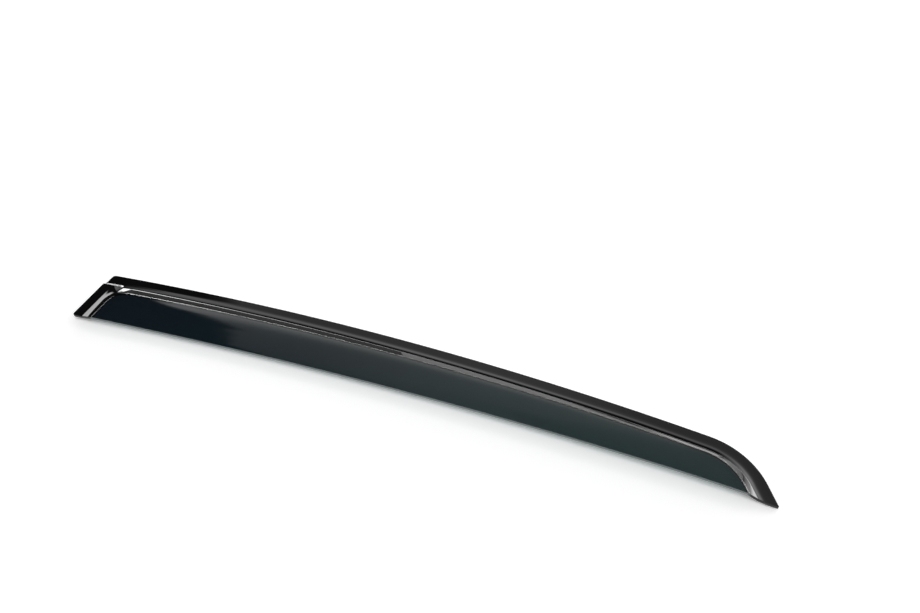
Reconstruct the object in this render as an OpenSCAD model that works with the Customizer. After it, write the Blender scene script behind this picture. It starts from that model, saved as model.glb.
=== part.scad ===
// Window rain deflector for a rear side door, one moulded sheet of smoked acrylic with its
// foam tape and release liner. It lies with its outer face up: X runs along the door from
// the pillar end to the tail, Y points to the roof and Z points away from the car. The
// origin is on the release liner's face, halfway along the tape under the top flange.

/* [Sheet] */
// Length from the pillar end to the corner of the tail
visor_l = 772.5; // [700:0.5:860]
// Width across the middle, from the top edge to the free lower edge
visor_w = 71; // [62:0.5:90]
// Thickness of the acrylic sheet
sheet_t = 3; // [2:0.1:3.5]
// Radius of the arched top edge
top_r = 3320; // [2600:10:6000]
// How far the top edge's highest point lies towards the pillar end
top_crest = 75; // [0:1:120]
// Radius of the arched lower edge
low_r = 5200; // [3600:50:9000]
// How far the lower edge's highest point lies towards the tail
low_crest = 26; // [0:1:80]

/* [Flange] */
// Width of the flange under the top edge, up to the shoulder
flange_w = 16.5; // [16:0.5:20]
// How much narrower the flange is at the tip of the tail
flange_taper = 2.7; // [0:0.1:4]
// How much thinner the sheet is at the flange's outer edge
edge_thin = 0.2; // [0:0.05:0.6]
// Width of the part of the flange that curves up towards the shoulder
cup_w = 10; // [4:0.5:10]
// Radius of that gentle curve
cup_r = 40; // [30:1:80]
// Width of the pad that is taped to the door pillar
pad_w = 11.8; // [10:0.1:18]
// How far the pad's face stands proud of the flange's face
pad_rise = 3; // [1:0.5:5]
// Width over which the flange steps up to the pad
pad_step_w = 4; // [3:0.5:8]
// How far the pad's lower end stops short of the hood's lower edge
pad_short = 0.9; // [0:0.1:5]
// Lean of the pillar end, out of square
end_lean = 3.5; // [0:0.1:5]
// Radius of the two corners at the pillar end
corner_r = 3.5; // [2:0.5:8]

/* [Hood] */
// How far the hood stands proud of the flange
hood_rise = 6; // [3:0.5:10]
// Width of the sloping shoulder between flange and hood, at the pillar end
shoulder_w = 14.5; // [8:0.1:16]
// Width of the shoulder just before the tail
shoulder_tail_w = 9; // [7:0.5:14]
// How much the shoulder widens again along the tail
shoulder_flare = 3.3; // [0:0.1:8]
// Share of the shoulder's width that its lower bend takes
foot_bend = 0.15; // [0.1:0.05:0.45]
// Share of the shoulder's width that its upper bend takes
brow_bend = 0.4; // [0.1:0.05:0.55]
// Inner corner radius at the foot of the shoulder
foot_r = 2; // [2:0.5:12]
// Outer corner radius at the top of the shoulder
brow_r = 16; // [8:1:24]
// Crown of the hood across its width
crown = 1.6; // [0:0.1:4]
// Length over which the crown fades out at each end
end_fade = 110; // [60:5:200]

/* [Tail] */
// Angle of the tail's straight edge below the X axis
tail_angle = 60; // [50:1:75]
// How far the tail's lower edge dips below the line of the hood's edge
tail_dip = 0.3; // [0:0.1:3]
// Radius of the bend from the top edge into the tail
tail_r = 80; // [50:1:100]
// Radius of the tail's tip
tip_r = 1.2; // [1:0.1:5]

/* [Tape] */
// Width of the foam tape
tape_w = 5.5; // [4:0.5:5.5]
// Thickness of the foam tape
tape_t = 1.1; // [0.8:0.1:2]
// Thickness of the release liner
liner_t = 0.1; // [0.1:0.05:0.3]
// Gap between the end of a tape and the end of the sheet
tape_end_gap = 7; // [4:0.5:15]

/* [Hidden] */

smoke = [0.05, 0.07, 0.08];
foam_grey = [0.2, 0.2, 0.21];
liner_red = [0.7, 0.1, 0.08];

// Levels above the surface that the liner lies on
tape_z = liner_t;
flange_back_z = tape_z + tape_t;
flange_z = flange_back_z + sheet_t;
pad_back_z = flange_back_z + pad_rise;

// The two long edges are arcs of large circles that lie far below the part
left_x = -visor_l / 2;
flat_w = flange_w - cup_w;
crest_y = flat_w / 2 + top_crest * top_crest / (2 * top_r);
top_c = [-top_crest, crest_y - top_r];
low_y = flat_w / 2 - visor_w;
low_c = [low_crest, low_y - low_r];
function arc_y(c, r, x) = c.y + sqrt(r * r - (x - c.x) * (x - c.x));
function soft(w) = let (u = max(0, min(1, w))) u * u * (3 - 2 * u);
function top_y(x) = arc_y(top_c, top_r, x);
function low_edge_y(x) =
    arc_y(low_c, low_r, x)
    + pad_short * (1 - soft((x - left_x - pad_w) / shoulder_w))
    - tail_dip * soft((x - visor_l / 2 + 45) / 30);

// Directions in the plane of the sheet
function dir(a) = [cos(a), sin(a)];
function dot2(a, b) = a.x * b.x + a.y * b.y;
function cross2(a, b) = a.x * b.y - a.y * b.x;

// Tail: a straight edge that runs down to the corner where it meets the lower edge
tail_corner = [visor_l / 2, low_edge_y(visor_l / 2)];
tail_run = dir(-tail_angle);
tail_out = dir(90 - tail_angle);

// Centre of the tail's bend: tail_r inside the straight edge and inside the top arc
bend_line = tail_corner - tail_r * tail_out;
bend_off = bend_line - top_c;
bend_half = dot2(bend_off, -tail_run);
bend_gap = dot2(bend_off, bend_off) - pow(top_r - tail_r, 2);
bend_back = -bend_half + sqrt(bend_half * bend_half - bend_gap);
bend_c = bend_line - bend_back * tail_run;
bend_from = atan2(bend_c.y - top_c.y, bend_c.x - top_c.x);
bend_to = 90 - tail_angle;
bend_start = bend_c + tail_r * dir(bend_from);
bend_end = bend_c + tail_r * dir(bend_to);

// Tip: a small arc that touches the straight edge and the lower edge
low_slope = atan2(tail_corner.x - low_c.x, tail_corner.y - low_c.y);
low_out = dir(-90 - low_slope);
tip_out = (bend_to - 90 - low_slope) / 2;
tip_half = (bend_to + 90 + low_slope) / 2;
tip_c = tail_corner - tip_r / cos(tip_half) * dir(tip_out);
tip_top = tip_c + tip_r * tail_out;
tip_low = tip_c + tip_r * low_out;

// Left edge: a straight line that leans by end_lean
left_foot = [left_x, low_edge_y(left_x)];
left_run = dir(90 - end_lean);
left_shift = tan(end_lean) * (top_y(left_x) - left_foot.y);

// Distances inwards from the edges
function from_top(p) = top_r - norm(p - top_c);
function from_left(p) = cross2(left_run, left_foot - p);
function from_tail(p) = dot2(tail_corner - p, tail_out);
function from_edge(p) =
    let (q = p - bend_c)
    cross2(q, dir(bend_from)) < 0 ? from_top(p) :
    cross2(q, tail_out) < 0 ? tail_r - norm(q) : from_tail(p);

// Distance inwards from two edges whose corner is rounded to radius r
function rounded(a, b, r) = a < r && b < r ? r - norm([r - a, r - b]) : min(a, b);

// A ramp from 0 to 1 whose lower and upper bends take the shares e and f of its width
function ramp(w, e, f) =
    let (m = 2 / (2 - e - f), u = max(0, min(1, w)))
    u < e ? m * u * u / (2 * e) : u > 1 - f ? 1 - m * (1 - u) * (1 - u) / (2 * f) : m * (u - e / 2);

// The flange narrows along the tail. The shoulder narrows from the pillar end up to the
// tail and widens again along it.
function into_tail(p) = soft((p.x - bend_start.x) / (tail_corner.x - bend_start.x));
function flange_at(p) = flange_w - flange_taper * into_tail(p);
function shoulder_at(p) =
    let (k = max(0, min(1, (p.x - left_x) / (bend_start.x - left_x))))
    shoulder_w + (shoulder_tail_w - shoulder_w) * k + shoulder_flare * into_tail(p);

// How far up the shoulder a point lies, from 0 at its foot to 1 at its top
function shoulder(p) =
    let (a = from_left(p) - pad_w, b = from_edge(p) - flange_at(p), w = shoulder_at(p),
         foot = rounded(a, b, foot_r),
         brow = rounded(a - w, b - w, brow_r))
    foot <= 0 ? 0 : brow >= 0 ? 1 : foot / (foot - brow);

// Height of the flange and the pad
function base_z(p) =
    let (up = ramp((from_top(p) - flange_w + pad_step_w / 2) / pad_step_w, foot_bend, brow_bend),
         here = 1 - soft((from_left(p) - pad_w) / shoulder_w),
         cup = max(0, min(cup_w, from_edge(p) - flange_at(p) + cup_w)))
    flange_z + pad_rise * up * here + cup * cup / (2 * cup_r) * (1 - here);

// Height of the hood, crowned across its width and fading to flat at both ends
function hood_z(p) =
    let (rim_w = flange_w + shoulder_at(p),
         v = max(0, min(1.2, (from_top(p) - rim_w) / (visor_w - rim_w))),
         fade = soft((p.x - left_x) / end_fade) * soft((tail_corner.x - p.x) / end_fade))
    flange_z + hood_rise + fade * crown * 4 * v * (1 - v);

// Height of a sheet of even thickness, and of the real face, which thins to the outer edge
function skin_z(p) =
    let (up = ramp(shoulder(p), foot_bend, brow_bend), low = base_z(p))
    low + (hood_z(p) - low) * up;
function face_z(p) = skin_z(p) - edge_thin * max(0, 1 - from_edge(p) / flat_w);

// Height of the back face: the sheet is sheet_t thick square to its slope
slope_step = 0.05;
function back_z(p) =
    let (z = skin_z(p),
         gx = (skin_z(p + [slope_step, 0]) - z) / slope_step,
         gy = (skin_z(p + [0, slope_step]) - z) / slope_step)
    z - sheet_t * sqrt(1 + gx * gx + gy * gy);

// The sheet is a grid of columns that cross it from the top edge to the lower edge.
// Columns are close together at the pad, the shoulder, the tail and the tip.
bend_shares = concat(
    [for (k = [0 : 2]) foot_bend * k / 2],
    [(foot_bend + 1 - brow_bend) / 2],
    [for (k = [0 : 4]) 1 - brow_bend + brow_bend * k / 4]);
corner_steps = [for (a = [0 : 30 : 90]) corner_r * (1 - cos(a))];
pad_steps = [for (k = [1 : 2]) corner_r + (pad_w - 1 - corner_r) * k / 2];
shoulder_steps = [for (u = bend_shares) pad_w + shoulder_w * u];
brow_steps = [for (k = [1 : 8]) pad_w + shoulder_w + brow_r * 1.1 * k / 8];
left_steps = concat(corner_steps, pad_steps, shoulder_steps, brow_steps);
left_end = left_steps[len(left_steps) - 1];
tail_zone = tail_r + shoulder_w + flange_w;
mid_l = bend_start.x - tail_zone / 2 - left_x;
mid_n = 38;
mid_steps = [for (k = [1 : mid_n]) left_end + (mid_l - left_end) * k / mid_n];

function corner_cut(o) = o < corner_r ? corner_r - sqrt(corner_r * corner_r - pow(corner_r - o, 2)) : 0;
function main_column(o) =
    let (xb = left_x + o, xt = xb + left_shift * (1 - o / mid_l))
    [[xt, top_y(xt) - corner_cut(o)], [xb, low_edge_y(xb) + corner_cut(o)]];

// Along the tail the top ends of the columns follow the bend and the straight edge
tail_x = left_x + mid_l;
top_l = bend_start.x - tail_x;
bend_l = tail_r * (bend_from - bend_to) * PI / 180;
line_l = norm(tip_top - bend_end);
tail_l = top_l + bend_l + line_l;
function tail_edge(s) =
    s < top_l ? [tail_x + s, top_y(tail_x + s)] :
    s < top_l + bend_l ? bend_c + tail_r * dir(bend_from - (s - top_l) / tail_r * 180 / PI) :
    bend_end + (s - top_l - bend_l) * tail_run;
tail_n = 40;
function tail_column(k) =
    let (x = tail_x + (tip_low.x - tail_x) * k / tail_n)
    [tail_edge(tail_l * k / tail_n), [x, k == tail_n ? tip_low.y : low_edge_y(x)]];
function tip_column(a) = [tip_c + tip_r * dir(tip_out + a), tip_c + tip_r * dir(tip_out - a)];

columns = concat(
    [for (o = concat(left_steps, mid_steps)) main_column(o)],
    [for (k = [1 : tail_n]) tail_column(k)],
    [for (a = [0.66, 0.36, 0.12]) tip_column(tip_half * a)]);

// Rows follow the top edge across the flange and the shoulder, then spread over the hood
hood_n = 9;
function row_shares(column) =
    let (f = flange_at(column[0]), w = shoulder_at(column[0]), ring_w = f + w,
         ring = min(ring_w / from_edge(column[1]), 0.75))
    concat([for (d = [0, (f - cup_w) / 2, f - cup_w, f - cup_w * 2 / 3, f - cup_w / 3]) ring * d / ring_w],
           [for (u = bend_shares) ring * (f + w * u) / ring_w],
           [for (k = [1 : hood_n]) ring + (1 - ring) * k / hood_n]);

grid = [for (c = columns) [for (s = row_shares(c)) c[0] + (c[1] - c[0]) * s]];
grid_m = len(grid);
grid_n = len(grid[0]);
face_points = [for (line = grid) for (p = line) [p.x, p.y, face_z(p)]];
back_points = [for (line = grid) for (p = line) [p.x, p.y, back_z(p)]];

// Each cell is split along the diagonal that runs with the shoulder there
function quad(a, b, c, d, turned = false) = turned ? [[a, b, d], [b, c, d]] : [[a, b, c], [a, c, d]];
function at(i, j) = i * grid_n + j;
back_0 = grid_m * grid_n;
cells = [for (i = [0 : grid_m - 2]) for (j = [0 : grid_n - 2]) [i, j]];
face_sides = [for (c = cells) each quad(at(c[0], c[1]), at(c[0], c[1] + 1),
                                        at(c[0] + 1, c[1] + 1), at(c[0] + 1, c[1]),
                                        c[0] < len(left_steps))];
back_sides = [for (t = face_sides) [for (k = [2 : -1 : 0]) t[k] + back_0]];
rim = concat(
    [for (i = [0 : grid_m - 2]) [at(i, 0), at(i + 1, 0)]],
    [for (j = [0 : grid_n - 2]) [at(grid_m - 1, j), at(grid_m - 1, j + 1)]],
    [for (i = [grid_m - 1 : -1 : 1]) [at(i, grid_n - 1), at(i - 1, grid_n - 1)]],
    [for (j = [grid_n - 1 : -1 : 1]) [at(0, j), at(0, j - 1)]]);
rim_sides = [for (e = rim) each quad(e[0], e[1], e[1] + back_0, e[0] + back_0)];

// The deflector itself: flange, pad, shoulder and hood in one sheet
module visor() {
    color(smoke)
        polyhedron(points = concat(face_points, back_points),
                   faces = concat(face_sides, back_sides, rim_sides), convexity = 6);
}

// Line at the distance d inside the top edge, round the bend and down the tail
function edge_line(d, from_x, run) = concat(
    [for (k = [0 : 40])
        let (x = from_x + (bend_start.x - from_x) * k / 40, v = [x, top_y(x)] - top_c)
        top_c + (top_r - d) * v / norm(v)],
    [for (k = [1 : 20]) bend_c + (tail_r - d) * dir(bend_from + (bend_to - bend_from) * k / 20)],
    [bend_end + run * tail_run - d * tail_out]);

// Strip that follows the top edge, the tail's bend and the tail's straight edge
module top_strip_2d() {
    near = (flat_w - tape_w) / 2;
    far = near + tape_w;
    start_x = left_x + left_shift + tape_end_gap;
    run = max(1, norm(tail_corner - bend_end) - tape_end_gap - far);
    inner = edge_line(far, start_x, run);
    polygon(concat(edge_line(near, start_x, run),
                   [for (k = [len(inner) - 1 : -1 : 0]) inner[k]]));
}

// Strip under the pad at the pillar end
module end_strip_2d() {
    w = min(tape_w, pad_w - 2);
    clear = flange_w + pad_step_w;
    l = norm([left_shift, top_y(left_x) - left_foot.y]) - clear - tape_end_gap;
    translate(left_foot)
        rotate(-end_lean)
            translate([(pad_w - w) / 2, tape_end_gap])
                square([w, l]);
}

module tape_top() {
    color(foam_grey) translate([0, 0, tape_z]) linear_extrude(tape_t) top_strip_2d();
}

module liner_top() {
    color(liner_red) linear_extrude(liner_t) top_strip_2d();
}

module tape_end() {
    color(foam_grey) translate([0, 0, pad_back_z - tape_t]) linear_extrude(tape_t) end_strip_2d();
}

module liner_end() {
    color(liner_red) translate([0, 0, pad_back_z - tape_t - liner_t]) linear_extrude(liner_t) end_strip_2d();
}

visor();
tape_top();
liner_top();
tape_end();
liner_end();
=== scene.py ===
# %% [markdown]
# # A smoked acrylic window deflector
# The part is one thin moulded sheet: a flat flange that is taped to the door frame, a
# shoulder that lifts off it, and a see-through hood that keeps rain off the open window.
# CAD has already made every piece in metres, in one shared frame, so the first step is to
# load that frame. Nothing here moves or reshapes a CAD node.

import math

import bmesh
import bpy
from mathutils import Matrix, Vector


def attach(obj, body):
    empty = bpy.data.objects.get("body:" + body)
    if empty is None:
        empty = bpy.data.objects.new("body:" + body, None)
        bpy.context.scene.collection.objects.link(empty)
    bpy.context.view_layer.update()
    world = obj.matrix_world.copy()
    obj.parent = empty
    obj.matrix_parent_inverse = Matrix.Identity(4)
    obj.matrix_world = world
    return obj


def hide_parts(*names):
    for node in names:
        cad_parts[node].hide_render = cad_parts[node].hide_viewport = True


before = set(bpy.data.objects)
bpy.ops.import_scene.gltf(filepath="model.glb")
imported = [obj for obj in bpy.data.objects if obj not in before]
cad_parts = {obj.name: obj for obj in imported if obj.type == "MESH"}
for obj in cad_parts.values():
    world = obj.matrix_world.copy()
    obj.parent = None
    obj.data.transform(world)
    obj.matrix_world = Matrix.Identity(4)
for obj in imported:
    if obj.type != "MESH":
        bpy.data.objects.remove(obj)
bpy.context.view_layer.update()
print("CAD nodes:", sorted(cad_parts))

# %% [markdown]
# ## The camera
# The photograph looks down on the part at 45 degrees from a little over one metre away. A
# camera is placed by three facts: where it stands, which way it looks and how wide it sees.
# Here they are the real distances and the lens, so the view is the same however large the
# picture is.

# %% Camera
SENSOR_MM = 36.0
LENS_MM = 35.2
CAMERA_AT = (0.2544, -0.60985, 0.726)
CAMERA_DOWN = 45.0  # degrees below the horizon
CAMERA_TURN = 18.97  # degrees anticlockwise from looking along +Y

camera_data = bpy.data.cameras.new("camera")
camera_data.sensor_width = SENSOR_MM
camera_data.lens = LENS_MM
camera_data.clip_start = 0.01
camera = bpy.data.objects.new("camera", camera_data)
bpy.context.collection.objects.link(camera)
camera.location = CAMERA_AT
camera.rotation_euler = (math.radians(90 - CAMERA_DOWN), 0, math.radians(CAMERA_TURN))
bpy.context.scene.camera = camera
print("Camera at", CAMERA_AT, "with a", LENS_MM, "mm lens")

# %% [markdown]
# ## Sums on shader sockets
# A material is a graph of nodes, and a long graph is hard to read. One small class wraps a
# socket and lets it be added, multiplied and subtracted like a number, and one method makes
# every other kind of node from its type, its settings and its inputs.


# %% A socket that can be used in sums
class Socket:
    def __init__(self, tree, socket):
        self.tree, self.socket = tree, socket

    def _math(self, operation, first, second):
        return node(self.tree, "ShaderNodeMath", {"operation": operation}, {0: first, 1: second})

    def __add__(self, other):
        return self._math("ADD", self, other)

    def __sub__(self, other):
        return self._math("SUBTRACT", self, other)

    def __rsub__(self, other):
        return self._math("SUBTRACT", other, self)

    def __mul__(self, other):
        return self._math("MULTIPLY", self, other)

    __radd__, __rmul__ = __add__, __mul__

    def clip(self):
        made = self._math("MULTIPLY", self, 1.0)
        made.socket.node.use_clamp = True
        return made


# %% One way to make any node
def node(tree, kind, settings=None, inputs=None, output=0):
    made = tree.nodes.new(kind)
    for name, value in (settings or {}).items():
        if name == "stops":
            set_stops(made.color_ramp, value)
        else:
            setattr(made, name, value)
    for name, value in (inputs or {}).items():
        if isinstance(value, Socket):
            tree.links.new(value.socket, made.inputs[name])
        else:
            made.inputs[name].default_value = value
    return Socket(tree, made.outputs[output])


def set_stops(ramp, stops):
    while len(ramp.elements) < len(stops):
        ramp.elements.new(0.5)
    for element, (place, level) in zip(ramp.elements, stops):
        element.position = place
        element.color = level if isinstance(level, tuple) else (level, level, level, 1)


# %% A new material and its tree
def new_material(name):
    material = bpy.data.materials.new(name)
    material.use_nodes = True
    material.node_tree.nodes.clear()
    return material, material.node_tree


def finish_material(tree, surface):
    out = tree.nodes.new("ShaderNodeOutputMaterial")
    tree.links.new(surface.socket, out.inputs["Surface"])
    for made in tree.nodes:
        made.hide = True
    print(len(tree.nodes), "nodes in this material")


# %% [markdown]
# ## The shape of the sheet
# The visible sheet is a polished moulding, and polish shows every facet of a coarse mesh as
# a kink in its reflections. So the sheet is made again here with a fine grid, from the same
# driving sizes as the CAD one, except for two bends and a short slope that the cell on
# heights names. The outline is two long arcs and a bend, and the height of each point
# follows from how far it lies from those edges. Sizes are in millimetres until the last step.

# %% Driving sizes in millimetres
VISOR_L, VISOR_W, SHEET_T = 772.5, 71.0, 3.0
TOP_R, TOP_CREST = 3320.0, 75.0
LOW_R, LOW_CREST = 5200.0, 26.0
FLANGE_W, FLANGE_TAPER, EDGE_THIN = 16.5, 2.7, 0.2
CUP_W, CUP_R = 10.0, 40.0
PAD_W, PAD_RISE, PAD_STEP_W, PAD_SHORT = 11.8, 3.0, 4.0, 0.9
END_LEAN, CORNER_R = 3.5, 3.5
HOOD_RISE = 6.0
SHOULDER_W, SHOULDER_TAIL_W, SHOULDER_FLARE = 14.5, 9.0, 3.3
FOOT_BEND, BROW_BEND = 0.01, 0.14
FOOT_RUN = 1.8  # the flange's slope runs on this far past the foot
FOOT_R, BROW_R = 2.0, 16.0
CROWN, END_FADE = 1.6, 110.0
CROWN_REACH = 1.2  # the crown's curve is followed to this share of the hood's width
TAIL_ANGLE, TAIL_R, TIP_R = 60.0, 80.0, 1.2
TAIL_DIP, DIP_START, DIP_RUN = 0.3, 45.0, 30.0  # the dip starts this far before the end
TAPE_T, LINER_T = 1.1, 0.1
EDGE_R = 0.4  # the sheet's edges are eased to this radius

FLAT_W = FLANGE_W - CUP_W
FLANGE_Z = LINER_T + TAPE_T + SHEET_T
LEFT_X = -VISOR_L / 2


# %% Small plane geometry
def towards(angle):
    return Vector((math.cos(math.radians(angle)), math.sin(math.radians(angle))))


def cross(a, b):
    return a.x * b.y - a.y * b.x


def soft(w):
    u = max(0.0, min(1.0, w))
    return u * u * (3 - 2 * u)


def arc_y(centre, radius, x):
    return centre.y + math.sqrt(radius * radius - (x - centre.x) ** 2)


# %% The two long edges
CREST_Y = FLAT_W / 2 + TOP_CREST**2 / (2 * TOP_R)
TOP_C = Vector((-TOP_CREST, CREST_Y - TOP_R))
LOW_C = Vector((LOW_CREST, FLAT_W / 2 - VISOR_W - LOW_R))


def top_y(x):
    return arc_y(TOP_C, TOP_R, x)


def low_y(x):
    short = PAD_SHORT * (1 - soft((x - LEFT_X - PAD_W) / SHOULDER_W))
    dip = TAIL_DIP * soft((x - VISOR_L / 2 + DIP_START) / DIP_RUN)
    return arc_y(LOW_C, LOW_R, x) + short - dip


print("Width at the middle:", round(top_y(0) - low_y(0), 1), "mm")

# %% The tail: a straight edge, and a bend that joins it to the top edge
TAIL_CORNER = Vector((VISOR_L / 2, low_y(VISOR_L / 2)))
TAIL_RUN, TAIL_OUT = towards(-TAIL_ANGLE), towards(90 - TAIL_ANGLE)
bend_line = TAIL_CORNER - TAIL_R * TAIL_OUT
bend_half = (bend_line - TOP_C).dot(-TAIL_RUN)
bend_gap = (bend_line - TOP_C).length_squared - (TOP_R - TAIL_R) ** 2
BEND_C = bend_line - (math.sqrt(bend_half**2 - bend_gap) - bend_half) * TAIL_RUN
BEND_FROM = math.degrees(math.atan2(BEND_C.y - TOP_C.y, BEND_C.x - TOP_C.x))
BEND_TO = 90 - TAIL_ANGLE
BEND_START = BEND_C + TAIL_R * towards(BEND_FROM)
BEND_END = BEND_C + TAIL_R * towards(BEND_TO)
print("The bend runs from", round(BEND_FROM, 1), "to", BEND_TO, "degrees")

# %% The tip, an arc between the tail's straight edge and the lower edge
low_slope = math.degrees(math.atan2(TAIL_CORNER.x - LOW_C.x, TAIL_CORNER.y - LOW_C.y))
TIP_OUT = (BEND_TO - 90 - low_slope) / 2
TIP_HALF = (BEND_TO + 90 + low_slope) / 2
TIP_C = TAIL_CORNER - TIP_R / math.cos(math.radians(TIP_HALF)) * towards(TIP_OUT)
TIP_TOP = TIP_C + TIP_R * TAIL_OUT
TIP_LOW = TIP_C + TIP_R * towards(-90 - low_slope)
LEFT_FOOT = Vector((LEFT_X, low_y(LEFT_X)))
LEFT_RUN = towards(90 - END_LEAN)
LEFT_SHIFT = math.tan(math.radians(END_LEAN)) * (top_y(LEFT_X) - LEFT_FOOT.y)


# %% Distances in from the edges
def from_top(p):
    return TOP_R - (p - TOP_C).length


def from_left(p):
    return cross(LEFT_RUN, LEFT_FOOT - p)


def from_edge(p):
    q = p - BEND_C
    if cross(q, towards(BEND_FROM)) < 0:
        return from_top(p)
    if cross(q, TAIL_OUT) < 0:
        return TAIL_R - q.length
    return (TAIL_CORNER - p).dot(TAIL_OUT)


def rounded(a, b, r):
    return r - math.hypot(r - a, r - b) if a < r and b < r else min(a, b)


# %% [markdown]
# ## Heights
# A ramp with two rounded bends lifts the sheet from the flange to the hood. The flange
# itself curves up a little before the ramp, which is what makes its reflection brighten
# towards the shoulder. Polish shows a bend that a measure of length hardly does, so the two
# bends are tighter here than in the CAD sheet, and the flange's slope runs on for a short way
# past the ramp's foot, which it doesn't there. The heights differ by 0.7 mm at most.


# %% The shoulder
def ramp(w, e, f):
    m, u = 2 / (2 - e - f), max(0.0, min(1.0, w))
    if u < e:
        return m * u * u / (2 * e)
    if u > 1 - f:
        return 1 - m * (1 - u) ** 2 / (2 * f)
    return m * (u - e / 2)


def into_tail(x):
    return soft((x - BEND_START.x) / (TAIL_CORNER.x - BEND_START.x))


def flange_at(x):
    return FLANGE_W - FLANGE_TAPER * into_tail(x)


def shoulder_at(x):
    k = max(0.0, min(1.0, (x - LEFT_X) / (BEND_START.x - LEFT_X)))
    return SHOULDER_W + (SHOULDER_TAIL_W - SHOULDER_W) * k + SHOULDER_FLARE * into_tail(x)


def shoulder(p):
    a, b, w = from_left(p) - PAD_W, from_edge(p) - flange_at(p.x), shoulder_at(p.x)
    foot = rounded(a, b, FOOT_R)
    brow = rounded(a - w, b - w, BROW_R)
    if foot <= 0:
        return 0.0
    return 1.0 if brow >= 0 else foot / (foot - brow)


# %% Flange, pad and hood
def base_z(p):
    here = 1 - soft((from_left(p) - PAD_W) / SHOULDER_W)
    up = ramp((from_top(p) - FLANGE_W + PAD_STEP_W / 2) / PAD_STEP_W, FOOT_BEND, BROW_BEND)
    past = from_edge(p) - flange_at(p.x)
    cup = max(0.0, min(CUP_W, past + CUP_W))
    lift = cup * cup / (2 * CUP_R) + CUP_W / CUP_R * max(0.0, min(FOOT_RUN, past))
    return FLANGE_Z + PAD_RISE * up * here + lift * (1 - here)


def hood_z(p):
    rim_w = FLANGE_W + shoulder_at(p.x)
    v = max(0.0, min(CROWN_REACH, (from_top(p) - rim_w) / (VISOR_W - rim_w)))
    fade = soft((p.x - LEFT_X) / END_FADE) * soft((TAIL_CORNER.x - p.x) / END_FADE)
    return FLANGE_Z + HOOD_RISE + fade * CROWN * 4 * v * (1 - v)


def skin_z(p):
    w = shoulder_at(p.x)
    past_pad, past_flange = from_left(p) - PAD_W, from_edge(p) - flange_at(p.x)
    at_flange = soft((past_pad - past_flange) / w + 0.5)  # 0 beside the pad, 1 by the flange
    start = FOOT_RUN / w * at_flange
    low, up = base_z(p), ramp((shoulder(p) - start) / (1 - start), FOOT_BEND, BROW_BEND)
    return low + (hood_z(p) - low) * up


def face_z(p):
    return skin_z(p) - EDGE_THIN * max(0.0, 1 - from_edge(p) / FLAT_W)


# %% The back follows at the sheet's thickness, and both sides are eased at the edge
def back_z(p, step=0.05):
    z = skin_z(p)
    gx = (skin_z(p + Vector((step, 0))) - z) / step
    gy = (skin_z(p + Vector((0, step))) - z) / step
    return z - SHEET_T * math.sqrt(1 + gx * gx + gy * gy)


def easing(p):
    side = min(from_edge(p), p.y - low_y(p.x))
    d = max(0.0, min(EDGE_R, rounded(from_left(p), side, CORNER_R)))
    return EDGE_R - math.sqrt(EDGE_R**2 - (EDGE_R - d) ** 2)


# %% [markdown]
# ## Where the grid's lines run
# A plain square grid is the start. Its columns are moved so that they cross the sheet from
# the top edge to the lower edge, close together at the pad, the shoulder's corner and the
# tail. Its rows follow the top edge over the flange and the shoulder, and spread out over
# the hood.

# %% Columns along the sheet
EASED = [0.0, 0.12, 0.35, 0.6]  # lines near an edge, which carry its rounding
CORNER_LINES = [1.2, 2.0, 2.8, CORNER_R]  # lines that cross the two rounded corners
CORNER_STEP, LONG_STEP = 0.7, 3.5  # spacing at the pad and its corner, and along the hood
CORNER_END = LEFT_X + PAD_W + SHOULDER_W + 1.3 * BROW_R


def split(start, end, count):
    return [start + (end - start) * k / count for k in range(1, count + 1)]


def spread(start, end, step):
    return split(start, end, max(1, math.ceil((end - start) / step)))


left_x = [LEFT_X + o for o in EASED + CORNER_LINES]
left_x += spread(LEFT_X + CORNER_R, CORNER_END, CORNER_STEP)
tail_x = BEND_START.x - (TAIL_R + SHOULDER_W + FLANGE_W) / 2
long_x = spread(CORNER_END, tail_x, LONG_STEP)


def corner_cut(o):
    return CORNER_R - math.sqrt(CORNER_R**2 - (CORNER_R - o) ** 2) if o < CORNER_R else 0.0


def main_column(x):
    o = x - LEFT_X
    xt = x + LEFT_SHIFT * (1 - o / (tail_x - LEFT_X))
    return Vector((xt, top_y(xt) - corner_cut(o))), Vector((x, low_y(x) + corner_cut(o)))


# %% Columns round the tail
TAIL_COLUMNS = 110
TIP_SHARES = (0.8, 0.6, 0.4, 0.25, 0.1)  # shares of the tip's arc still ahead of a column
top_l = BEND_START.x - tail_x
bend_l = math.radians(BEND_FROM - BEND_TO) * TAIL_R
tail_l = top_l + bend_l + (TIP_TOP - BEND_END).length


def tail_edge(s):
    if s < top_l:
        return Vector((tail_x + s, top_y(tail_x + s)))
    if s < top_l + bend_l:
        return BEND_C + TAIL_R * towards(BEND_FROM - math.degrees((s - top_l) / TAIL_R))
    return BEND_END + (s - top_l - bend_l) * TAIL_RUN


def tail_column(k):
    x = tail_x + (TIP_LOW.x - tail_x) * k / TAIL_COLUMNS
    y = TIP_LOW.y if k == TAIL_COLUMNS else low_y(x)
    return tail_edge(tail_l * k / TAIL_COLUMNS), Vector((x, y))


def tip_column(share):
    a = TIP_HALF * share
    return TIP_C + TIP_R * towards(TIP_OUT + a), TIP_C + TIP_R * towards(TIP_OUT - a)


columns = [main_column(x) for x in left_x + long_x]
columns += [tail_column(k) for k in range(1, TAIL_COLUMNS + 1)]
columns += [tip_column(share) for share in TIP_SHARES]
print(len(columns), "columns")

# %% Rows across the sheet
FLANGE_ROWS, SHOULDER_ROWS, HOOD_ROWS = 10, 32, 24
RIM_MOST = 0.75  # flange and shoulder take no more than this share of a short column
NARROW = 8.0  # columns shorter than this have their last rows drawn together


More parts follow.
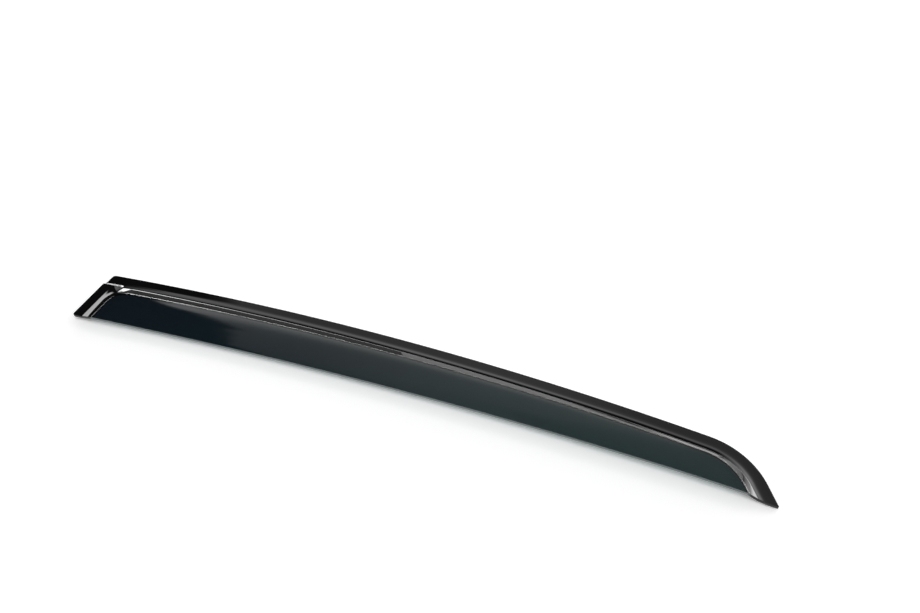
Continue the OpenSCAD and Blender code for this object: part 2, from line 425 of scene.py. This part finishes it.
def rows(column):
    top, low = column
    f, w = flange_at(top.x), shoulder_at(top.x)
    reach = max(from_edge(low), 1e-3)
    rim = min((f + w) / reach, RIM_MOST)
    scale = rim / (f + w)
    near = [d * scale for d in EASED]
    flange = [s * scale for s in split(EASED[-1], f, FLANGE_ROWS)]
    slope = [s * scale for s in split(f, f + w, SHOULDER_ROWS)]
    ends = [1 - d / reach * min(1.0, reach / NARROW) for d in EASED[::-1]]
    hood = split(rim, ends[0], HOOD_ROWS)
    return near + flange + slope + hood[:-1] + ends


print(len(rows(columns[0])), "rows")

# %% [markdown]
# ## Pressing the sheet
# One operator makes the flat grid and another pulls a second skin off it. Each grid point
# is then set on its column and row at its height, the back skin first and the front after.
# Two numbers are kept on each point for the material: how far it is black, which is the tape
# behind the flange and painted shade up the shoulder, and whether it lies on the pale edge.


# %% Where the sheet is black: the tape behind the flange, and painted shade up the shoulder
BLACK_UP_TO, BLACK_FADE = 0.7, 0.25  # shares of the way up the shoulder


# Black where the tape lies behind the flange, and painted shade carried up the shoulder, where
# only shade lies under the sheet.
def backing(p):
    return 1 - soft((shoulder(p) - BLACK_UP_TO) / BLACK_FADE)


# %% Make the two skins
def press_sheet(name):
    bm = bmesh.new()
    n, m = len(columns) - 1, len(rows(columns[0])) - 1
    bmesh.ops.create_grid(bm, x_segments=n, y_segments=m, size=1)
    black_and_shade_layer = bm.verts.layers.float.new("backing")
    pale_edge_and_glow = bm.verts.layers.float.new("rim")
    shares = [rows(c) for c in columns]
    front = {}
    for v in bm.verts:
        i, j = round((v.co.x + 1) / 2 * n), round((1 - v.co.y) / 2 * m)
        top, low = columns[i]
        p = top + (low - top) * shares[i][j]
        z, ease = face_z(p), easing(p)
        # Black for the tape behind the flange, and painted shade up the shoulder.
        v[black_and_shade_layer] = backing(p)
        # The sheet's outer rows carry the pale edge, partly frosted grey and partly a painted
        # glow.
        v[pale_edge_and_glow] = 1.0 if i in (0, n) or j in (0, m) else 0.0
        v.co = (p.x, p.y, back_z(p) + ease)
        front[(round(p.x, 5), round(p.y, 5))] = z - ease
    print(len(bm.verts), "points in one skin")
    skin = bmesh.ops.extrude_face_region(bm, geom=bm.faces[:])["geom"]
    for v in (g for g in skin if isinstance(g, bmesh.types.BMVert)):
        v.co.z = front[(round(v.co.x, 5), round(v.co.y, 5))]
    bmesh.ops.recalc_face_normals(bm, faces=bm.faces[:])
    bmesh.ops.scale(bm, vec=(0.001,) * 3, verts=bm.verts[:])
    for face in bm.faces:
        face.smooth = True
    mesh = bpy.data.meshes.new(name)
    bm.to_mesh(mesh)
    bm.free()
    made = bpy.data.objects.new(name, mesh)
    bpy.context.collection.objects.link(made)
    print(name, "has", len(mesh.polygons), "faces")
    return made


sheet = press_sheet("smoked_sheet")

# %% [markdown]
# ## Smoked acrylic
# Acrylic bends light a little less than window glass. The dye takes out most of what passes
# and leaves a blue-green cast, darker and bluer near the pad and lighter teal near the tail.
# The flange has the black tape behind it, so no light comes through there, and the same black
# goes most of the way up the shoulder as painted shade, where there is only shade under the
# sheet. The sawn edge of the hood is finely rough and looks pale, partly its own frosted grey
# and partly a painted glow of the light that travels along the sheet. Light on its way to the
# paper is tinted by the sheet but not bent, which keeps the shadow smooth.

# %% Colours and finish of the acrylic
ACRYLIC_IOR = 1.49
HAZE_SCALE, HAZE_TO_TINT = 14.0, 0.3
POLISH, POLISH_HAZE = 0.004, 0.01
TEAL_FROM, TEAL_TO = -0.3, 0.2  # the tint turns from blue near the pad to teal near the tail between these, in metres
SMOKE_BLUE = (0.019, 0.032, 0.045, 1)  # what passes through the sheet near the pad
SMOKE_TEAL = (0.026, 0.066, 0.070, 1)  # and what passes near the tail
# The black of the tape behind the flange, also painted up the shoulder as shade.
BACKED_BLACK_AND_PAINTED_SHADE = (0.003, 0.003, 0.0035, 1)
SHADOW_TINT = (0.2, 0.28, 0.28, 1)  # what is left of light on its way to the paper
# The sawn edge's pale colour is partly its own frosted grey and partly a painted glow of the
# light carried along the sheet.
PALE_EDGE_AND_PAINTED_GLOW, SAWN_ROUGHNESS = (0.22, 0.25, 0.25, 1), 0.45

# %% Tint along the sheet, and polish
acrylic, tree = new_material("smoked_acrylic")
place = node(tree, "ShaderNodeTexCoord", output=3)
haze = node(tree, "ShaderNodeTexNoise", {}, {
    "Vector": place, "Scale": HAZE_SCALE, "Detail": 3.0})
gloss = POLISH + haze * POLISH_HAZE
# The sheet is darker and bluer near the pad and lighter teal near the tail.
along = node(tree, "ShaderNodeSeparateXYZ", {}, {0: place}, output=0)
blue_to_teal = ((along - TEAL_FROM) * (1 / (TEAL_TO - TEAL_FROM)) + (haze - 0.5) * HAZE_TO_TINT).clip()
smoke = node(tree, "ShaderNodeMix", {"data_type": "RGBA"}, {
    0: blue_to_teal, 6: SMOKE_BLUE, 7: SMOKE_TEAL}, output=2)

# %% The clear hood, the black flange with its painted shade, and the pale edge with its painted glow
through = node(tree, "ShaderNodeBsdfPrincipled", {}, {
    "Base Color": smoke, "Roughness": gloss, "IOR": ACRYLIC_IOR, "Transmission Weight": 1.0})
tinted = node(tree, "ShaderNodeBsdfTransparent", {}, {"Color": SHADOW_TINT})
shadow_ray = node(tree, "ShaderNodeLightPath", output=1)
clear = node(tree, "ShaderNodeMixShader", {}, {0: shadow_ray, 1: through, 2: tinted})

# The flange's black, which is also painted shade up the shoulder.
backed_and_shaded = node(tree, "ShaderNodeBsdfPrincipled", {}, {
    "Base Color": BACKED_BLACK_AND_PAINTED_SHADE, "Roughness": gloss, "IOR": ACRYLIC_IOR})
backing_and_shade_mask = node(tree, "ShaderNodeAttribute", {"attribute_name": "backing"}, output=2)
body = node(tree, "ShaderNodeMixShader", {}, {0: backing_and_shade_mask, 1: clear, 2: backed_and_shaded})

# The painted glow is kept off the black parts, where no light travels through the sheet.
edge_glow_mask = node(tree, "ShaderNodeAttribute", {"attribute_name": "rim"}, output=2)
sawn_edge_and_glow = node(tree, "ShaderNodeBsdfPrincipled", {}, {
    "Base Color": PALE_EDGE_AND_PAINTED_GLOW, "Roughness": SAWN_ROUGHNESS})
pale_edge_and_glow = (edge_glow_mask * (1 - backing_and_shade_mask)).clip()
finish_material(tree, node(tree, "ShaderNodeMixShader", {}, {0: pale_edge_and_glow, 1: body, 2: sawn_edge_and_glow}))

# %% Put the sheet in the CAD visor's place
sheet.data.materials.append(acrylic)
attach(sheet, "root")
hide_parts("visor")

# %% [markdown]
# ## Foam tape
# The mounting tape is a strip of closed-cell foam, about one millimetre thick. It is matt
# and almost black, with a fine grain of cells that only shows close up, so two scales of
# noise vary its colour and lift its surface a little.

# %% Foam tape
CELL_SCALE, PATCH_SCALE = 2200.0, 60.0
FOAM_DARK, FOAM_PALE = (0.018, 0.018, 0.019, 1), (0.045, 0.045, 0.047, 1)

foam, tree = new_material("foam_tape")
place = node(tree, "ShaderNodeTexCoord", output=3)
cells = node(tree, "ShaderNodeTexVoronoi", {"feature": "F1"}, {
    "Vector": place, "Scale": CELL_SCALE})
patches = node(tree, "ShaderNodeTexNoise", {}, {
    "Vector": place, "Scale": PATCH_SCALE, "Detail": 2.0})
shade = (cells * 0.5 + patches * 0.5).clip()
grey = node(tree, "ShaderNodeValToRGB", {"stops": [(0.2, FOAM_DARK), (0.8, FOAM_PALE)]}, {
    0: shade})
bump = node(tree, "ShaderNodeBump", {}, {"Strength": 0.4, "Distance": 0.0001, "Height": cells})
finish_material(tree, node(tree, "ShaderNodeBsdfPrincipled", {}, {
    "Base Color": grey, "Roughness": 0.9, "Normal": bump}))

# %% [markdown]
# ## Release liner
# A red film covers the tape's glue until the part is fitted. It is thin polyethylene with a
# soft shine, and it carries faint waves from the roll that it came off.

# %% Release liner
WAVE_SCALE = 90.0
LINER_DARK, LINER_PALE = (0.42, 0.025, 0.02, 1), (0.58, 0.045, 0.035, 1)

liner, tree = new_material("release_liner")
place = node(tree, "ShaderNodeTexCoord", output=3)
waves = node(tree, "ShaderNodeTexNoise", {}, {
    "Vector": place, "Scale": WAVE_SCALE, "Detail": 2.0})
red = node(tree, "ShaderNodeValToRGB", {"stops": [(0.3, LINER_DARK), (0.7, LINER_PALE)]}, {
    0: waves})
bump = node(tree, "ShaderNodeBump", {}, {"Strength": 0.3, "Distance": 0.0003, "Height": waves})
finish_material(tree, node(tree, "ShaderNodeBsdfPrincipled", {}, {
    "Base Color": red, "Roughness": waves * 0.2 + 0.28, "Normal": bump}))

# %% Give the CAD strips their materials
for name, material in (("tape_top", foam), ("tape_end", foam),
                       ("liner_top", liner), ("liner_end", liner)):
    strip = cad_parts[name]
    strip.data.materials.clear()
    strip.data.materials.append(material)
    print(name, "is", material.name)

# %% [markdown]
# ## The studio
# The part lies on white paper, and its polish mirrors the room. The room is drawn on the
# world as a sum of soft lights, each one a ramp over height times a ramp over direction:
# - a wide panel behind the part, whose lower edge rises to the right and whose left end
#   leans, so the pillar end mirrors a dark part of the room
# - a thin bright strip under the panel, which draws the pale line along the crest
# - a dim band at the horizon, a fill for the tail and a small lamp for the pad
# - a high light behind the camera and one overhead, for the sides that the photo hides
#
# The paper is lighter to the camera, in reflections and through the sheet than it is as a
# source of light. Past its edge the world is white to the camera and through the sheet.

# %% Paper
PAPER_HALF, PAPER_GAP = 4.0, 0.0002  # metres; the gap keeps it clear of the liner's face

bm = bmesh.new()
bmesh.ops.create_grid(bm, x_segments=1, y_segments=1, size=PAPER_HALF)
bmesh.ops.translate(bm, vec=(0, 0, -PAPER_GAP), verts=bm.verts[:])
paper_mesh = bpy.data.meshes.new("paper")
bm.to_mesh(paper_mesh)
bm.free()
paper = bpy.data.objects.new("paper", paper_mesh)
bpy.context.collection.objects.link(paper)
print("Paper", 2 * PAPER_HALF, "m wide")

# %% White on the paper
PAPER_LIT, PAPER_SEEN = (0.8, 0.8, 0.8, 1), (1.0, 1.0, 1.0, 1)
PAPER_LIFT = 0.17

white, tree = new_material("white_paper")
camera_ray = node(tree, "ShaderNodeLightPath", output=0)
mirrored = Socket(tree, camera_ray.socket.node.outputs["Is Glossy Ray"])
passed = Socket(tree, camera_ray.socket.node.outputs["Is Transmission Ray"])
seen = (camera_ray + mirrored + passed).clip()
under = node(tree, "ShaderNodeNewGeometry", output=6)
tone = node(tree, "ShaderNodeMix", {"data_type": "RGBA"}, {
    0: seen, 6: PAPER_LIT, 7: PAPER_SEEN}, output=2)
matt = node(tree, "ShaderNodeBsdfDiffuse", {}, {"Color": tone})
lift = node(tree, "ShaderNodeEmission", {}, {"Strength": seen * PAPER_LIFT})
matt = node(tree, "ShaderNodeAddShader", {}, {0: matt, 1: lift})
gone = node(tree, "ShaderNodeBsdfTransparent", {}, {"Color": (1, 1, 1, 1)})
finish_material(tree, node(tree, "ShaderNodeMixShader", {}, {0: under, 1: matt, 2: gone}))
paper_mesh.materials.append(white)

# %% Height and direction in the room
world = bpy.data.worlds.new("studio")
bpy.context.scene.world = world
world.use_nodes = True
tree = world.node_tree
tree.nodes.clear()
direction = node(tree, "ShaderNodeTexCoord", output=0)
east = node(tree, "ShaderNodeSeparateXYZ", {}, {0: direction}, output=0)
parts = east.socket.node
north, height = Socket(tree, parts.outputs[1]), Socket(tree, parts.outputs[2])
turn = node(tree, "ShaderNodeMath", {"operation": "ARCTAN2"}, {0: east, 1: north})
turn = turn * (1 / (2 * math.pi)) + 0.5  # 0.5 looks along +Y and 0.25 along -X


def at(degrees):
    return degrees / 360 + 0.5


def up(degrees):
    return math.sin(math.radians(degrees))


def ramp_of(value, stops):
    return node(tree, "ShaderNodeValToRGB", {"stops": stops}, {0: value})


# %% The panel
PANEL = 3.8

panel = ramp_of(height, [
    (up(20), 0.5), (up(31), 1.1), (up(34), 0.84), (up(36), 0.66), (up(38.5), 0.43),
    (up(41), 0.36), (up(45), 0.33), (up(52), 0.31), (up(62), 0.26), (up(75), 0.2)])
lower_edge = ramp_of(turn, [
    (at(-37), 0.0), (at(-26), 0.1), (at(-10), 0.15), (at(0), 0.19), (at(6), 0.17)])
panel = panel * ramp_of(height - lower_edge, [(up(16), 0.0), (up(20.5), 1.0)])
lean = ramp_of(height, [
    (up(29), 0.03), (up(31), 0.075), (up(35.5), 0.01), (up(41.5), 0.033), (up(44), 0.055),
    (up(46), 0.128), (up(50), 0.21), (up(55), 0.39), (up(58), 0.55)]) * 0.1
panel = panel * ramp_of(turn + lean, [
    (at(-37), 0.0), (at(-35), 0.42), (at(-30), 0.42), (at(-12), 0.62), (at(-1), 0.6),
    (at(5), 0.45), (at(60), 0.37), (at(80), 0.3), (at(150), 0.0)]) * PANEL

# %% The strip, the band at the horizon, the fill and the pad's lamp
STRIP, FILL, LAMP = 17.0, 2.6, 6.5

strip = ramp_of(height, [(up(7), 0.0), (up(9), 1.0), (up(13.5), 1.0), (up(15.5), 0.0)])
strip = strip * ramp_of(turn, [
    (at(-41), 0.0), (at(-39), 1.0), (at(-31), 1.0), (at(-28.5), 0.72), (at(-9), 0.68),
    (at(0), 0.6), (at(5), 0.4), (at(30), 0.4), (at(70), 0.25), (at(150), 0.0)]) * STRIP
band = ramp_of(height, [(up(6), 0.3), (up(8), 0.0)])
fill = ramp_of(height, [(up(0), 0.0), (up(6), 1.0), (up(30), 1.0), (up(36), 0.0)])
fill = fill * ramp_of(turn, [
    (at(10), 0.0), (at(22), 1.0), (at(50), 1.0), (at(70), 0.0)]) * FILL
lamp = ramp_of(height, [(up(20), 0.0), (up(21), 1.0), (up(26.5), 1.0), (up(29), 0.0)])
lamp = lamp * ramp_of(turn, [
    (at(-68), 0.0), (at(-66), 1.0), (at(-50), 1.0), (at(-48), 0.0)]) * LAMP

# %% High lights, and the sum
BEHIND_CAMERA, OVERHEAD, LEAST = 2.7, 1.6, 0.02
WORLD_LEVEL = 0.8

behind = ramp_of(turn, [(at(-130), 1.0), (at(-105), 0.0), (at(90), 0.0), (at(115), 1.0)])
behind = behind * ramp_of(height, [(up(38), 0.0), (up(50), 1.0)]) * BEHIND_CAMERA
overhead = ramp_of(height, [(up(70), 0.0), (up(80), 1.0)]) * OVERHEAD

level = panel + strip + band + fill + lamp + behind + overhead + LEAST
camera_ray = node(tree, "ShaderNodeLightPath", output=0)
passed = Socket(tree, camera_ray.socket.node.outputs["Is Transmission Ray"])
seen = (camera_ray + passed).clip()
level = level * WORLD_LEVEL * (1 - seen) + seen
background = node(tree, "ShaderNodeBackground", {}, {"Color": (1, 1, 1, 1), "Strength": level})
out = tree.nodes.new("ShaderNodeOutputWorld")
tree.links.new(background.socket, out.inputs["Surface"])

bpy.context.scene.view_settings.view_transform = "Standard"
